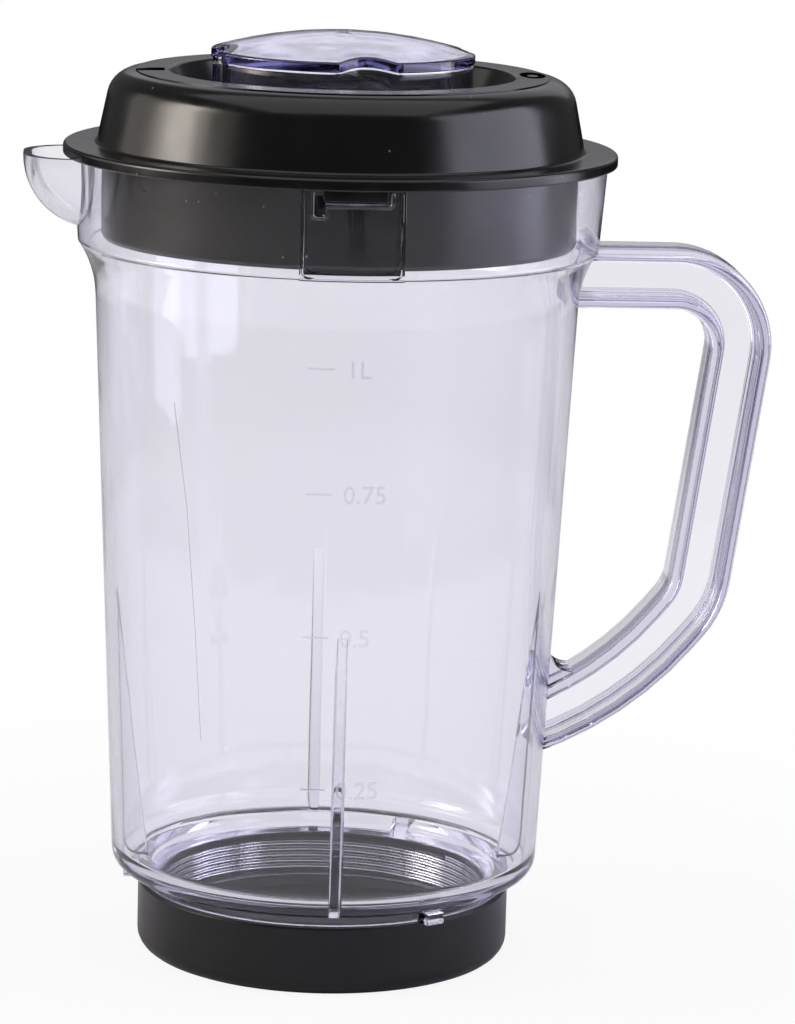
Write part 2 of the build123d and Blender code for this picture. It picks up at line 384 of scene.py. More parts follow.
handleSizes = {
    "width": 15.0, "depth": 13.7, "flange": 2.8, "web": 3.0,
    "edgeRounding": 1.8, "lipRounding": 0.8, "rootRounding": 1.2,
    "startRadius": 51.9, "topHeight": 157.0, "cornerReach": 93.4, "gripHeight": 73.5, "lean": 7.8,
    "topBend": 15.4, "lowBend": 17.0, "tailAngle": 50.5, "tailRun": 5.6, "foot": (44.5, 53.4),
    "bendStep": 5, "fewestSteps": 6,
}
padSizes = {
    "width": 22.6, "middle": -0.6, "radius": 60.15, "rounding": 0.5,
    "slotWidth": 14.5, "slotMiddle": -0.05, "slotDepth": 3.1, "slotRounding": 0.6,
    "pocketWidth": 2.4, "pocketDepth": 5.6, "pocketRoof": 1.0, "pocketOverlap": 0.8,
    "bead": 0.42, "beadGap": 0.5, "beadRounding": 1.0, "stepRounding": 0.4,
    "drop": 0.3, "line": 0.24, "lineInset": 0.75, "lineRounding": 1.4, "sideRounding": 0.35,
    "cutterReach": 1.2,  # times the rim's radius
    "uprightTurn": 1.0, "faceMargin": 0.1,  # in radians and mm, to pick out the edges that are rounded
}
rootSizes = {
    "centre": (55.15, 71.27), "radius": 5.0, "arc": (178, 304), "corner": (48.6, 60.8), "width": 11.6,
    "steps": 12,
}
lugSizes = {
    "count": 3, "firstDegrees": 60, "width": 4.6, "height": 2.7, "reach": 45.9, "sunk": 0.5,
    "rounding": 0.35,
}
ribSizes = {
    "count": 4, "width": 3.1, "nose": 2.0, "depth": 5.8, "height": 62.0, "lift": 1.0, "sunk": 1.0,
    "endDepth": 0.2, "rounding": 0.5,
}
threadSizes = {
    "lead": 2.8, "starts": 2, "turns": 2.6, "first": 7.4, "half": 0.48, "depth": 0.7, "sunk": 0.3,
}


def jarOutside(s, over):  # the outer skin as a solid, carried up past the rim to be trimmed flush
    slope = (s["rimRadius"] - s["collarRadius"]) / (s["rim"] - s["collarBottom"])
    return spun([
        (0, s["neckEnd"]), (s["neckRadius"], s["neckEnd"], s["neckRounding"]),
        (s["neckRadius"], s["flangeBottom"]),
        (s["flangeRadius"], s["flangeBottom"], s["flangeRounding"]),
        (s["flangeRadius"], s["flangeTop"], s["cornerRounding"]),
        (s["shoulderRadius"], s["flangeTop"], s["shoulderRounding"]),
        (s["flareRadius"], s["flareHeight"], s["flareRounding"]),
        (s["collarRadius"], s["collarBottom"], s["collarRounding"][0]),
        (s["rimRadius"] + over * slope, s["rim"] + over), (0, s["rim"] + over)])


def jarInside(s, over):  # the space inside, with a broad head that trims the rim flush
    wall, lead = s["wall"], s["rimLead"]
    upper, lower = s["funnelRounding"]
    return spun([
        (0, s["neckEnd"] - over), (s["boreRadius"], s["neckEnd"] - over),
        (s["boreRadius"], s["funnelBottom"], lower), (s["funnelRadius"], s["floor"], upper),
        (s["shoulderRadius"] - wall, s["floor"], s["floorRounding"]),
        (s["flareRadius"] - wall, s["flareHeight"], s["flareRounding"]),
        (s["collarRadius"] - wall, s["collarBottom"], s["collarRounding"][1]),
        (s["rimRadius"] - wall, s["rim"] - lead), (s["rimRadius"] - wall + lead, s["rim"]),
        (2 * s["rimRadius"], s["rim"]), (2 * s["rimRadius"], s["rim"] + 2 * over),
        (0, s["rim"] + 2 * over)])


def spoutScoop(s, jar, inset, over):  # levels draw in downwards like the latitudes of a ball
    bm = bmesh.new()
    depth = s["depth"] - inset
    middle = jar["rimRadius"] + s["reach"] - s["depth"]
    back = jar["wall"] - middle
    rings = []
    for level in range(-1, s["levels"]):
        latitude = radians(s["lowestLatitude"] * max(level, 0) / (s["levels"] - 1))
        tip = -middle - depth * cos(latitude)
        half = (s["width"] / 2 - inset) * cos(latitude)
        corner = s["cornerShare"] * half
        height = jar["rim"] - depth * sin(latitude) + (over if level < 0 else 0)
        plan = [(back, -half), (back, half), (tip, half, corner), (tip, -half, corner)]
        rings.append(closedRing(bm, [(x, y, height) for x, y in roundedOutline(plan, steps=10)]))
    return lofted(bm, rings)


def handleBeam(s):  # I-section carried along straight runs and bends, from the collar down to the foot
    side, outer, web = s["width"] / 2, s["depth"] / 2, s["web"] / 2
    inner = outer - s["flange"]
    edge, lip, root = s["edgeRounding"], s["lipRounding"], s["rootRounding"]
    quarter = [(side, outer, edge), (side, inner, lip), (web, inner, root)]
    right = quarter + [(x, -y, r) for x, y, r in reversed(quarter)]
    section = roundedOutline(right + [(-x, y, r) for x, y, r in reversed(right)], steps=5)
    bm = bmesh.new()
    ring = closedRing(bm, [(s["startRadius"], y, s["topHeight"] + z) for y, z in section])
    bmesh.ops.edgeloop_fill(bm, edges=ring)

    lean = radians(s["lean"])
    tail = radians(s["tailAngle"])
    topTurn = pi / 2 + lean
    lowTurn = pi - topTurn - tail
    topCut = s["topBend"] * tan(topTurn / 2)
    lowCut = s["lowBend"] * tan(lowTurn / 2)
    lowCorner = Vector((s["cornerReach"] - s["gripHeight"] * tan(lean), s["topHeight"] - s["gripHeight"]))
    tailStart = lowCorner - Vector((1, tan(tail))) * s["tailRun"]
    chord = Vector(s["foot"]) - tailStart
    tailTurn = 2 * (tail - atan2(-chord.y, -chord.x))
    moves = [  # (bend radius or 0 for straight, mm or radians)
        (0, s["cornerReach"] - s["startRadius"] - topCut), (s["topBend"], topTurn),
        (0, s["gripHeight"] / cos(lean) - topCut - lowCut), (s["lowBend"], lowTurn),
        (0, s["tailRun"] / cos(tail) - lowCut), (chord.length / 2 / sin(tailTurn / 2), tailTurn)]

    place, heading = Vector((s["startRadius"], 0, s["topHeight"])), 0
    for bend, amount in moves:
        along = Vector((cos(heading), 0, sin(heading)))
        verts = list({v for e in ring for v in e.verts})
        if bend:
            centre = place + Vector((sin(heading), 0, -cos(heading))) * bend
            swept = bmesh.ops.spin(bm, geom=verts + ring, cent=centre * mm, axis=(0, 1, 0), angle=amount,
                                   steps=max(s["fewestSteps"], round(amount / radians(s["bendStep"]))))
            ring = [g for g in swept["geom_last"] if isinstance(g, bmesh.types.BMEdge)]
            place = centre + Matrix.Rotation(amount, 3, "Y") @ (place - centre)
            heading -= amount
        else:
            swept = bmesh.ops.extrude_edge_only(bm, edges=ring)["geom"]
            ends = [g for g in swept if isinstance(g, bmesh.types.BMVert)]
            bmesh.ops.translate(bm, verts=ends, vec=along * amount * mm)
            ring = [g for g in swept if isinstance(g, bmesh.types.BMEdge) and g.is_boundary]
            place = place + along * amount
    bmesh.ops.edgeloop_fill(bm, edges=ring)
    return tidy(bm)


def frontPad(s, jar, over):  # a shallow panel on the collar, with its upright edges rounded
    low, high = jar["collarBottom"] - s["drop"], jar["rim"] + over
    deep, face = jar["collarRadius"] - jar["wall"] / 2, s["radius"]
    section = [(deep, low + s["drop"]), (deep, low), (face, low, s["rounding"]), (face, high), (deep, high)]
    bm = sector(roundedOutline(section, steps=4), s["width"], face, s["middle"])
    tall = [e for e in bm.edges
            if e.calc_length() > (high - low) * mm / 2 and e.calc_face_angle() > s["uprightTurn"]]
    nearFace = (face - s["faceMargin"]) * mm
    uprights = [e for e in tall if all(hypot(v.co.x, v.co.y) > nearFace for v in e.verts)]
    bmesh.ops.bevel(bm, geom=uprights, offset=s["sideRounding"] * mm, affect="EDGES", segments=3,
                    profile=0.5, material=-1)
    return tidy(bm)


def onPad(s, corners):  # a run of (x, height) corners, rounded and laid on the face of the pad
    return [(x, -sqrt(s["radius"] ** 2 - x * x), z) for x, z in roundedOutline(corners)]


def padBead(s, jar):  # the fine raised line round the edge of the pad
    gap, turn = s["lineInset"], s["lineRounding"]
    half = s["width"] / 2 - gap
    left, right = s["middle"] - half, s["middle"] + half
    low, high = jar["collarBottom"] - s["drop"] + gap, jar["rim"] - gap
    return bead(onPad(s, [(left, high), (left, low, turn), (right, low, turn), (right, high)]), s["line"])


def slotEnds(s):  # left of the pocket, the step from pocket to slot, and right of the slot
    left = s["slotMiddle"] - s["slotWidth"] / 2
    step = left + s["pocketOverlap"]
    return step - s["pocketWidth"], step, s["slotMiddle"] + s["slotWidth"] / 2


def slotBead(s, jar):  # the rolled edge of the slot and its pocket, on the face of the pad
    left, step, right = slotEnds(s)
    gap, rim, turn = s["beadGap"], jar["rim"], s["beadRounding"]
    pocket, slot = rim - s["pocketDepth"] - gap, rim - s["slotDepth"] - gap
    corners = [(left - gap, rim - gap), (left - gap, pocket, turn), (step + gap, pocket, turn),
               (step + gap, slot, s["stepRounding"]), (right + gap, slot, turn), (right + gap, rim - gap)]
    return bead(onPad(s, corners), s["bead"])


def padSlot(s, jar, over):
    right, rim, reach = slotEnds(s)[2], jar["rim"], jar["rimRadius"] * s["cutterReach"]
    return block((right - s["slotWidth"], -reach, rim - s["slotDepth"]), (right, 0, rim + over),
                 s["slotRounding"])


def padPocket(s, jar):
    left, step, _ = slotEnds(s)
    reach = jar["rimRadius"] * s["cutterReach"]
    return block((left, -reach, jar["rim"] - s["pocketDepth"]), (step, 0, jar["rim"] - s["pocketRoof"]),
                 s["slotRounding"])


def rib(s, jar):  # a drafted fin that dies out up the wall
    foot = jar["shoulderRadius"] - jar["wall"]
    low, floor, top = jar["flangeTop"] + s["lift"], jar["floor"], jar["floor"] + s["height"]
    footNose, footBack = foot - s["depth"], foot + s["sunk"]
    drift = jar["taper"] * s["height"]
    wide, narrow = s["width"] / 2, s["nose"] / 2
    bm = bmesh.new()
    rings = []
    for height, nose, back in ((low, footNose, footBack), (floor, footNose, footBack),
                               (top, foot - s["endDepth"] + drift, footBack + drift)):
        plan = [(back, -wide), (back, wide),
                (nose, narrow, s["rounding"]), (nose, -narrow, s["rounding"])]
        rings.append(closedRing(bm, [(x, y, height) for x, y in roundedOutline(plan, steps=4)]))
    return lofted(bm, rings)


def lug(s, jar):
    half = s["width"] / 2
    return block((jar["neckRadius"] - s["sunk"], -half, jar["flangeBottom"]),
                 (s["reach"], half, jar["flangeBottom"] + s["height"]), s["rounding"])


def ridge(s, skin, outwards):  # one start of a rounded screw thread, standing on a cylinder
    swell = [radians(a) for a in (-90, -60, -30, 0, 30, 60, 90)]
    bulge = [(skin + outwards * s["depth"] * cos(a), s["first"] + s["half"] * sin(a)) for a in swell]
    back = skin - s["sunk"] * outwards
    section = [(back, s["first"] - s["half"])] + bulge + [(back, s["first"] + s["half"])]
    return helix(section, s["lead"], s["turns"])


def handleRoot(s):  # fillet in the corner between the wall and the finger side of the handle's tail
    (x, z), radius = s["centre"], s["radius"]
    first, last = (radians(a) for a in s["arc"])
    curve = [first + (last - first) * k / s["steps"] for k in range(s["steps"] + 1)]
    return prism([s["corner"]] + [(x + radius * cos(a), z + radius * sin(a)) for a in reversed(curve)],
                 -s["width"] / 2, s["width"] / 2, upright=False)


# Graduations: raised lines and figures on the front of the wall
markSizes = {
    "heights": {"1L": 143.3, "0.75": 115.8, "0.5": 83.9, "0.25": 49.5},
    "line": (-9.7, -3.6), "lineThick": 0.45, "lineRounding": 0.04,  # from and to in degrees from the front
    "figureStart": -1.0, "figureSize": 5.6, "figureDrop": 0.35,  # the drop is a share of the size
    "proud": 0.14, "sunk": -0.03,  # below 0, so the marks stand just off the wall
    "scratch": [(-44.0, 133.0), (-40.4, 110.0), (-38.3, 84.0), (-36.7, 58.0)], "scratchWidth": 0.14,
    "lineLongest": 2, "lineCuts": 5, "scratchLongest": 5, "scratchCuts": 6,  # longer edges are cut, to bend
}


def wallRadius(height):  # outside of the straight part of the body
    return jarSizes["shoulderRadius"] + jarSizes["taper"] * (height - jarSizes["flangeTop"])


def wrapped(vert):  # x runs round the wall, y up it and z out of it, all in mm; the front is -Y
    radius = wallRadius(vert.y) + vert.z
    turn = vert.x / wallRadius(vert.y)
    return Vector((radius * sin(turn), -radius * cos(turn), vert.y)) * mm


def markMesh(s):
    marks = bmesh.new()
    for figures, height in s["heights"].items():
        start, end = (radians(a) * wallRadius(height) for a in s["line"])
        half = s["lineThick"] / 2
        line = block((start, height - half, -s["sunk"]), (end, height + half, s["proud"]),
                     s["lineRounding"])
        bmesh.ops.scale(line, vec=(1 / mm,) * 3, verts=line.verts)
        longEdges = [e for e in line.edges if e.calc_length() > s["lineLongest"]]
        bmesh.ops.subdivide_edges(line, edges=longEdges, cuts=s["lineCuts"])
        words = bpy.data.curves.new("figures", "FONT")
        words.body = figures
        words.size = s["figureSize"]
        words.extrude = (s["proud"] + s["sunk"]) / 2
        words.resolution_u = 4
        text = bpy.data.objects.new("figures", words)
        figureMesh = bpy.data.meshes.new_from_object(text)
        shift = Vector((radians(s["figureStart"]) * wallRadius(height),
                        height - s["figureDrop"] * s["figureSize"], (s["proud"] - s["sunk"]) / 2))
        for vert in figureMesh.vertices:
            vert.co += shift
        lineMesh = bpy.data.meshes.new("line")
        line.to_mesh(lineMesh)
        line.free()
        marks.from_mesh(lineMesh)
        marks.from_mesh(figureMesh)
        bpy.data.objects.remove(text)
    for vert in marks.verts:
        vert.co = wrapped(vert.co)
    return tidy(marks)


def scratchMesh(s):  # a hairline left by the flow of the plastic
    bm = bmesh.new()
    edges = []
    half = s["scratchWidth"] / 2
    for degrees, height in s["scratch"]:
        x = radians(degrees) * wallRadius(height)
        section = [(x - half, height, -half), (x + half, height, -half), (x, height, half)]
        edges.append(closedRing(bm, section))
    for first, second in zip(edges, edges[1:]):
        bmesh.ops.bridge_loops(bm, edges=first + second)
    longEdges = [e for e in bm.edges if e.calc_length() > s["scratchLongest"] * mm]
    bmesh.ops.subdivide_edges(bm, edges=longEdges, cuts=s["scratchCuts"])
    bmesh.ops.edgeloop_fill(bm, edges=edges[0])
    bmesh.ops.edgeloop_fill(bm, edges=edges[-1])
    for vert in bm.verts:
        vert.co = wrapped(vert.co / mm)
    return tidy(bm)


over = 3.0  # mm that a cutter goes past what it cuts
steps = [("UNION", spoutScoop(spoutSizes, jarSizes, 0, over)), ("UNION", handleBeam(handleSizes)),
         ("UNION", handleRoot(rootSizes)), ("UNION", frontPad(padSizes, jarSizes, over))]
steps += around(threadSizes["starts"], ridge, threadSizes, jarSizes["neckRadius"], 1)
steps += around(lugSizes["count"], lug, lugSizes, jarSizes, first=lugSizes["firstDegrees"])
steps += [("DIFFERENCE", jarInside(jarSizes, over)),
          ("DIFFERENCE", spoutScoop(spoutSizes, jarSizes, spoutSizes["wall"], over)),
          ("DIFFERENCE", padSlot(padSizes, jarSizes, over)), ("DIFFERENCE", padPocket(padSizes, jarSizes)),
          ("UNION", slotBead(padSizes, jarSizes)), ("UNION", padBead(padSizes, jarSizes))]
steps += around(ribSizes["count"], rib, ribSizes, jarSizes)
steps.append(("UNION", scratchMesh(markSizes)))
jarSolid = combined(jarOutside(jarSizes, over), steps)
jarPiece = finishPiece(jarSolid, "jar_clear", "jar", clearJar)
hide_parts("jar")
finishPiece(markMesh(markSizes), "graduation_figures", "jar", dullFigures)

# Base cap: spun, with the thread that takes the neck
capSizes = {
    "radius": 42.5, "height": 16.0, "inner": 40.0, "floor": 4.0,
    "edge": 4.0, "lip": 0.5, "floorRounding": 0.8,
}
sleeveSizes = {"aboveFloor": 0.8, "belowLip": 0.6, "proud": 0.05, "sunk": 0.3}
capThread = {"lead": 2.8, "starts": 2, "turns": 2.8, "first": 6.7, "half": 0.5, "depth": 0.6, "sunk": 0.3}


def baseCap(s):
    return spun([(0, 0), (s["radius"], 0, s["edge"]), (s["radius"], s["height"], s["lip"]),
                 (s["inner"], s["height"], s["lip"]), (s["inner"], s["floor"], s["floorRounding"]),
                 (0, s["floor"])])


capPiece = finishPiece(baseCap(capSizes), "base_cap_satin", "base", blackSatin)
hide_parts("base_cap")


def capSleeve(s, cap):  # the polished face of the cap's wall that the thread stands on
    low, high = cap["floor"] + s["aboveFloor"], cap["height"] - s["belowLip"]
    face, back = cap["inner"] - s["proud"], cap["inner"] + s["sunk"]
    return spun([(face, low), (back, low), (back, high), (face, high)])


steps = around(capThread["starts"], ridge, capThread, capSizes["inner"], -1)
threadSolid = combined(capSleeve(sleeveSizes, capSizes), steps)
finishPiece(threadSolid, "cap_thread_gloss", "base", blackGloss)
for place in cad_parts["base_seal"].material_slots:
    place.material = blackRubber

# Lid: spun shell with the finger recess, and the key that sits in the pad's slot
lidSizes = {
    "skirtRadius": 53.2, "skirtEnd": 164.5, "wall": 2.2, "lead": (0.5, 0.9), "leadRounding": 0.2,
    "tabWidth": 21.6, "tabDrop": 1.2, "tabOverlap": 1.0, "tabInset": 0.1,
    "seat": 182.4, "flangeRadius": 61.9, "flangeTop": 185.0,
    "crownFoot": 54.5, "crownRadius": 51.2, "crown": 201.4, "crownRounding": 6.2,
    "recessRadius": 38.5, "recessFloorRadius": 33.5, "recess": 190.6, "hole": 25.8,
    "keyWidth": 13.9, "keyMiddle": -0.05, "keyDepth": 2.7, "keyRadius": 60.1, "keyRounding": 0.5,
    "stepRadius": 46.0, "step": 0.3, "stepRounding": 0.12,
    "recessRounding": 1.0, "cornerRounding": 0.8, "edgeRounding": 0.4, "lipRounding": 0.3,
}
lidMarks = {
    "bar": [(-46.0, -5.4), (-43.0, -4.2), (-39.6, -3.8), (-39.6, 2.6), (-42.8, 2.0), (-46.0, -0.6)],
    "ring": (42.6, 1.4), "ringOuter": (2.9, 7.0), "ringInner": (1.2, 2.2), "depth": 0.9,
    "above": 1.0, "rooted": 0.5, "innerDrop": 0.1,
}


def lidShell(s):
    wall, inner = s["wall"], s["skirtRadius"] - s["wall"]
    leadIn, leadUp = s["lead"]
    corner, edge, lip = s["cornerRounding"], s["edgeRounding"], s["lipRounding"]
    return spun([
        (inner, s["skirtEnd"], lip), (s["skirtRadius"] - leadIn, s["skirtEnd"], s["leadRounding"]),
        (s["skirtRadius"], s["skirtEnd"] + leadUp, edge), (s["skirtRadius"], s["seat"]),
        (s["flangeRadius"], s["seat"], edge), (s["flangeRadius"], s["flangeTop"], corner),
        (s["crownFoot"], s["flangeTop"], corner),
        (s["crownRadius"], s["crown"] - s["step"], s["crownRounding"]),
        (s["stepRadius"], s["crown"] - s["step"]), (s["stepRadius"], s["crown"], s["stepRounding"]),
        (s["recessRadius"], s["crown"], s["recessRounding"]), (s["recessFloorRadius"], s["recess"], corner),
        (s["hole"], s["recess"], edge), (s["hole"], s["recess"] - wall, lip),
        (s["recessFloorRadius"] + wall, s["recess"] - wall, corner),
        (s["recessRadius"] + wall, s["crown"] - wall, corner),
        (s["crownRadius"] - wall, s["crown"] - wall, s["crownRounding"] - wall),
        (s["crownFoot"] - wall, s["flangeTop"]), (inner, s["seat"])], rounding=8)


def lidKey(s):
    left, right = s["keyMiddle"] - s["keyWidth"] / 2, s["keyMiddle"] + s["keyWidth"] / 2
    bm = block((left, -s["keyRadius"], s["seat"] - s["keyDepth"]),
               (right, -s["skirtRadius"] + s["wall"] / 2, s["seat"] + s["wall"] / 2), s["keyRounding"])
    for vert in bm.verts:  # the outer face follows the jar's round
        if vert.co.y < -s["skirtRadius"] * mm:
            vert.co.y += s["keyRadius"] * mm - sqrt((s["keyRadius"] * mm) ** 2 - vert.co.x ** 2)
    return bm


def lidTab(s):  # the skirt reaches lower behind the pad
    outer, inner = s["skirtRadius"] - s["lead"][0], s["skirtRadius"] - s["wall"] + s["tabInset"]
    low, high = s["skirtEnd"] - s["tabDrop"], s["skirtEnd"] + s["tabOverlap"]
    section = [(inner, low, s["lipRounding"]), (outer, low, s["lipRounding"]), (outer, high), (inner, high)]
    return sector(roundedOutline(section, steps=4), s["tabWidth"], s["skirtRadius"], s["keyMiddle"])


def oval(centre, halves, points=40):
    turns = [2 * pi * k / points for k in range(points)]
    return [(centre[0] + halves[0] * cos(a), centre[1] + halves[1] * sin(a)) for a in turns]


def lidSigns(s, crown):  # a sunk bar and a sunk ring, which keeps its middle
    above, sunk = crown + s["above"], crown - s["depth"]
    outer, inner = oval(s["ring"], s["ringOuter"]), oval(s["ring"], s["ringInner"])
    return [("DIFFERENCE", prism(s["bar"], sunk, above)), ("DIFFERENCE", prism(outer, sunk, above)),
            ("UNION", prism(inner, sunk - s["rooted"], crown - s["innerDrop"]))]


steps = [("UNION", lidKey(lidSizes)), ("UNION", lidTab(lidSizes))] + lidSigns(lidMarks, lidSizes["crown"])
lidSolid = combined(lidShell(lidSizes), steps)
lidPiece = finishPiece(lidSolid, "lid_gloss", "lid", blackGloss)
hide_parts("lid")

# Filler cap: a ring with four finger scallops, drawn up, domed over and hollowed out in one run
fillerSizes = {
    "radius": 29.4, "seat": 190.6, "edge": 206.2, "rise": 4.4, "wall": 2.0, "floor": 2.0,
    "rounding": 0.6, "plate": 2.3, "roof": 3.0, "overhang": 0.3, "lip": 0.5,
    "scallops": 4, "firstScallop": 8, "scallopWidth": 12.6, "scallopDepth": 3.5, "blend": 2.4,
    "collarRadius": 25.4, "collarWall": 1.8, "collarLength": 6.0,
    "gateRadius": 2.3, "gateDepth": 0.14, "gateShares": (0.05, 0.7),
    "plateBevel": 0.2, "edgeBevel": 0.3, "floorBevel": 0.6, "points": 288, "quarterSteps": 6,
    "domeShares": (0.2, 0.4, 0.6, 0.75, 0.88, 0.96), "roofShares": (0.9, 0.65, 0.45, 0.25, 0.02),
}


def fillerPlan(s, inset):  # radius of the scalloped outline at each point round it
    deep, half = s["scallopDepth"], s["scallopWidth"] / 2
    scoop = (half ** 2 + deep ** 2) / (2 * deep)
    away = s["radius"] - deep + scoop
    radii = []
    for k in range(s["points"]):
        turn = 2 * pi * k / s["points"] - radians(s["firstScallop"])
        off = (turn + pi / s["scallops"]) % (2 * pi / s["scallops"]) - pi / s["scallops"]
        plain = s["radius"] - inset
        under = (scoop + inset) ** 2 - (away * sin(off)) ** 2
        dent = away * cos(off) - sqrt(under) if under > 0 else plain + s["blend"]
        near = max(s["blend"] - abs(plain - dent), 0) / s["blend"]
        radii.append(min(plain, dent) - near ** 2 * s["blend"] / 4)
    return radii


def fillerRings(s):  # (radius, height) rings from the middle of the top, down the outside and up the inside
    ball = (s["radius"] ** 2 + s["rise"] ** 2) / (2 * s["rise"])
    top, seat, floor = s["edge"] + s["rise"], s["seat"], s["seat"] + s["floor"]

    def dome(radius, drop):
        return top - drop - ball + sqrt(ball ** 2 - radius ** 2)

    outer = fillerPlan(s, 0)
    under = fillerPlan(s, s["overhang"])
    inner = fillerPlan(s, s["overhang"] + s["wall"])
    gate, turn, lip = s["gateRadius"], s["rounding"], s["lip"]
    quarter = [pi / 2 * k / s["quarterSteps"] for k in range(s["quarterSteps"] + 1)]
    rings = [[(gate * share, dome(gate, 0) - s["gateDepth"]) for _ in outer] for share in s["gateShares"]]
    rings.append([(gate, dome(gate, 0)) for _ in outer])
    for share in s["domeShares"]:
        radii = [gate + (r - turn - gate) * share for r in outer]
        rings.append([(r, dome(r, 0)) for r in radii])
    for lift in quarter:
        out, up = turn * sin(lift) - turn, turn * cos(lift) - turn
        rings.append([(r + out, dome(r - turn, 0) + up) for r in outer])

    below = [dome(r - turn, 0) - s["plate"] for r in outer]
    bevel = s["plateBevel"]
    rings.append([(r, z + bevel) for r, z in zip(outer, below)])
    rings.append([(r - bevel, z) for r, z in zip(outer, below)])
    rings.append(list(zip(under, below)))
    bevel = s["edgeBevel"]
    rings.append([(r, seat + bevel) for r in under])
    rings.append([(r - bevel, seat) for r in under])

    collar, throat = s["collarRadius"], s["collarRadius"] - s["collarWall"]
    low = seat - s["collarLength"]
    rings += [[place for _ in outer] for place in (
        (collar, seat), (collar, low + bevel), (collar - bevel, low), (throat + bevel, low),
        (throat, low + bevel), (throat, floor - bevel), (throat + bevel, floor))]
    bevel = s["floorBevel"]
    rings.append([(r - bevel, floor) for r in inner])
    rings.append([(r, floor + bevel) for r in inner])
    for lift in quarter:
        out, up = lip * cos(lift) - lip, lip * sin(lift) - lip
        rings.append([(r + out, dome(r - lip, s["roof"]) + up) for r in inner])
    for share in s["roofShares"]:
        rings.append([((r - lip) * share, dome((r - lip) * share, s["roof"])) for r in inner])
    return rings


def fillerCap(s):
    bm = bmesh.new()
    turns = [2 * pi * k / s["points"] for k in range(s["points"])]
    rows = []
    for ring in fillerRings(s):
        places = [Vector((r * cos(a), r * sin(a), z)) * mm for a, (r, z) in zip(turns, ring)]
        rows.append([bm.verts.new(place) for place in places])
    for first, second in zip(rows, rows[1:]):
        for k in range(s["points"]):
            bm.faces.new((first[k - 1], first[k], second[k], second[k - 1]))
    bm.faces.new(rows[0])
    bm.faces.new(rows[-1])
    return tidy(bm)


fillerSolid = fillerCap(fillerSizes)
fillerPiece = finishPiece(fillerSolid, "filler_cap_clear", "filler", clearCap)
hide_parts("filler_cap")
print("mouldings made")

# Studio: pale paper on a dark table, a dim room, lamps at the left and right, one behind and one overhead
stageSizes = {
    "floor": 12.0, "paper": "#F0EFF3", "table": "#1C1C1E",
    "paperMiddle": (0.10, 0.0, 0), "paperEdge": (0.60, 1.10),
    "clearEdge": (0.08, 0.30), "shadowShare": 0.10,  # near the object the paper keeps a share of its shadow
    "room": 0.10, "onceRoom": 0.80,
    "once": 0.80, "onceFar": 0.06, "onceEdge": (0.47, 0.57),  # for rays reflected once on their way
    "behind": (0, 2.0, 0), "behindEdge": (1.55, 1.82), "reach": (1.10, 1.35),
    "often": 0.85,  # for rays reflected more often
    "lampAim": 0.11,
}
# For each: degrees round from the front, height, distance, width and tallness in m, watts, colour
lamps = {
    "leftCore": (-86, 0.42, 0.95, 0.30, 0.56, 2.8, "#FFF6EC"),
    "leftMiddle": (-86, 0.42, 0.97, 0.58, 0.56, 2.8, "#FFF6EC"),
    "leftWide": (-92, 0.42, 0.99, 1.45, 0.60, 2.2, "#FFF6EC"),
    "rightSoftbox": (77, 0.41, 0.95, 1.07, 0.80, 7.3, "#EDECFF"),
    "rightLow": (99, 0.07, 0.95, 0.34, 0.14, 0.25, "#EDECFF"),
    "backdrop": (168, 0.81, 1.30, 1.05, 0.95, 1.4, "#F8F6FF"),
    "overhead": (0, 1.60, 0.20, 2.20, 2.20, 12.0, "#FFFFFF"),
}


def paleLevel(tree, path, once, often):  # 1, or less for rays reflected once, or more often, on their way
    onceTurned, oftenTurned = (
        addNode(tree, "Math", {0: (path, "Glossy Depth"), 1: depth}, operation="GREATER_THAN")
        for depth in (0.5, 1.5))
    single = fade(tree, (onceTurned, "Value"), (0.0, 1.0), (1.0, once))
    level = fade(tree, (oftenTurned, "Value"), (0.0, 1.0), ((single, "Result"), often))
    return level, "Result"


def makePaper(s):  # white for the camera and through clear plastic, lit paper on a table for all other rays
    material, tree = newMaterial("pale paper floor")
    path = addNode(tree, "LightPath")
    coords = addNode(tree, "TexCoord")
    place = (coords, "Object")
    away = addNode(tree, "VectorMath", {0: place}, operation="LENGTH")
    offset = addNode(tree, "VectorMath", {0: place, 1: s["paperMiddle"]}, operation="DISTANCE")
    back = addNode(tree, "VectorMath", {0: place, 1: s["behind"]}, operation="DISTANCE")

    def softEdge(distance, edge, ends):
        return fade(tree, (distance, "Value"), edge, ends, interpolation_type="SMOOTHSTEP")

    onTable = softEdge(offset, s["paperEdge"], (0.0, 1.0))
    shade = blend(tree, (onTable, "Result"), s["paper"], s["table"])
    paper = addNode(tree, "BsdfDiffuse", {"Color": shade})

    onceEnds = (s["once"], s["onceFar"])
    near = softEdge(away, s["onceEdge"], onceEnds)
    far = softEdge(back, s["behindEdge"], onceEnds)
    reach = softEdge(away, s["reach"], onceEnds)
    patch = addNode(tree, "Math", {0: (far, "Result"), 1: (reach, "Result")}, operation="MINIMUM")
    pale = addNode(tree, "Math", {0: (near, "Result"), 1: (patch, "Value")}, operation="MAXIMUM")
    level = paleLevel(tree, path, (pale, "Value"), s["often"])
    white = addNode(tree, "Emission", {"Color": linear("#FFFFFF"), "Strength": level})

    rays = {0: (path, "Is Camera Ray"), 1: (path, "Is Transmission Ray")}
    seen = addNode(tree, "Math", rays, operation="MAXIMUM")
    clear = softEdge(away, s["clearEdge"], (1 - s["shadowShare"], 1.0))
    share = addNode(tree, "Math", {0: (seen, "Value"), 1: (clear, "Result")}, operation="MULTIPLY")
    both = addNode(tree, "MixShader", {0: (share, "Value"), 1: (paper, "BSDF"), 2: (white, "Emission")})
    addNode(tree, "OutputMaterial", {"Surface": (both, "Shader")})
    return material


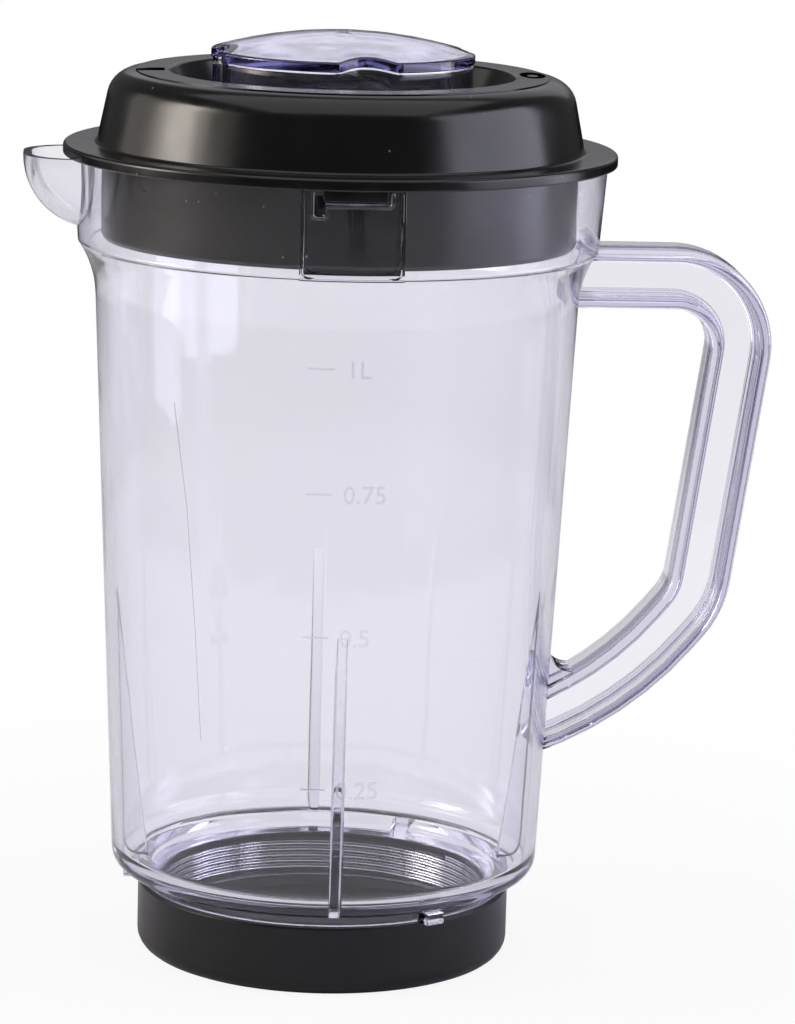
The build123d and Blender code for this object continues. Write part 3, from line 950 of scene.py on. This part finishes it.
def makeFloor(s):
    bm = bmesh.new()
    bmesh.ops.create_grid(bm, x_segments=1, y_segments=1, size=s["floor"] / 2)
    floor = newObject(bm, "floor")
    floor.data.materials.append(makePaper(s))


def makeWorld(s):
    world = bpy.data.worlds.new("studio")
    bpy.context.scene.world = world
    world.use_nodes = True
    tree = world.node_tree
    tree.nodes.clear()
    path = addNode(tree, "LightPath")
    inside = paleLevel(tree, path, s["onceRoom"], s["often"])
    through = addNode(tree, "Math", {0: (path, "Is Transmission Ray"), 1: inside}, operation="MULTIPLY")
    seen = addNode(tree, "Math", {0: (path, "Is Camera Ray"), 1: (through, "Value")}, operation="MAXIMUM")
    level = addNode(tree, "Math", {0: (seen, "Value"), 1: s["room"]}, operation="MAXIMUM")
    white = addNode(tree, "Background", {"Color": linear("#FFFFFF"), "Strength": (level, "Value")})
    addNode(tree, "OutputWorld", {"Surface": (white, "Background")})


def makeLamps(table, aim):
    middle = Vector((0, 0, aim))
    for name, (degrees, height, distance, width, tall, watts, colour) in table.items():
        turn = radians(degrees)
        lamp = bpy.data.lights.new(name, "AREA")
        lamp.shape = "RECTANGLE"
        lamp.size = width
        lamp.size_y = tall
        lamp.energy = watts
        lamp.color = linear(colour)[:3]
        holder = bpy.data.objects.new(name, lamp)
        holder.location = (distance * sin(turn), -distance * cos(turn), height)
        holder.rotation_mode = "QUATERNION"
        holder.rotation_quaternion = (middle - holder.location).to_track_quat("-Z", "Y")
        holder.visible_camera = False
        bpy.context.scene.collection.objects.link(holder)


cameraSizes = {
    "away": 1.0025, "height": 0.301, "yaw": 3.5, "pitch": 11.25, "roll": 1.43, "turn": 0.835,
    "lens": 158.4, "sensor": 36,
}


def makeCamera(s):
    lens = bpy.data.cameras.new("camera")
    lens.lens = s["lens"]
    lens.sensor_width = s["sensor"]
    holder = bpy.data.objects.new("camera", lens)
    yaw = radians(s["yaw"])
    eye = Vector((-s["away"] * sin(yaw), -s["away"] * cos(yaw), s["height"]))
    heading = Matrix.Rotation(-yaw, 4, "Z")
    tilt = Matrix.Rotation(pi / 2 - radians(s["pitch"]), 4, "X")
    roll = Matrix.Rotation(radians(s["roll"]), 4, "Z")
    turn = Matrix.Rotation(-radians(s["turn"]), 4, "Y")
    holder.matrix_world = Matrix.Translation(eye) @ heading @ tilt @ roll @ turn
    bpy.context.scene.collection.objects.link(holder)
    bpy.context.scene.camera = holder


makeFloor(stageSizes)
makeWorld(stageSizes)
makeLamps(lamps, stageSizes["lampAim"])
makeCamera(cameraSizes)
scene = bpy.context.scene
scene.view_settings.view_transform = "Standard"
scene.cycles.use_denoising = True
scene.cycles.max_bounces = 32
scene.cycles.transmission_bounces = 32
scene.cycles.glossy_bounces = 12
scene.cycles.transparent_max_bounces = 24
print("studio made")
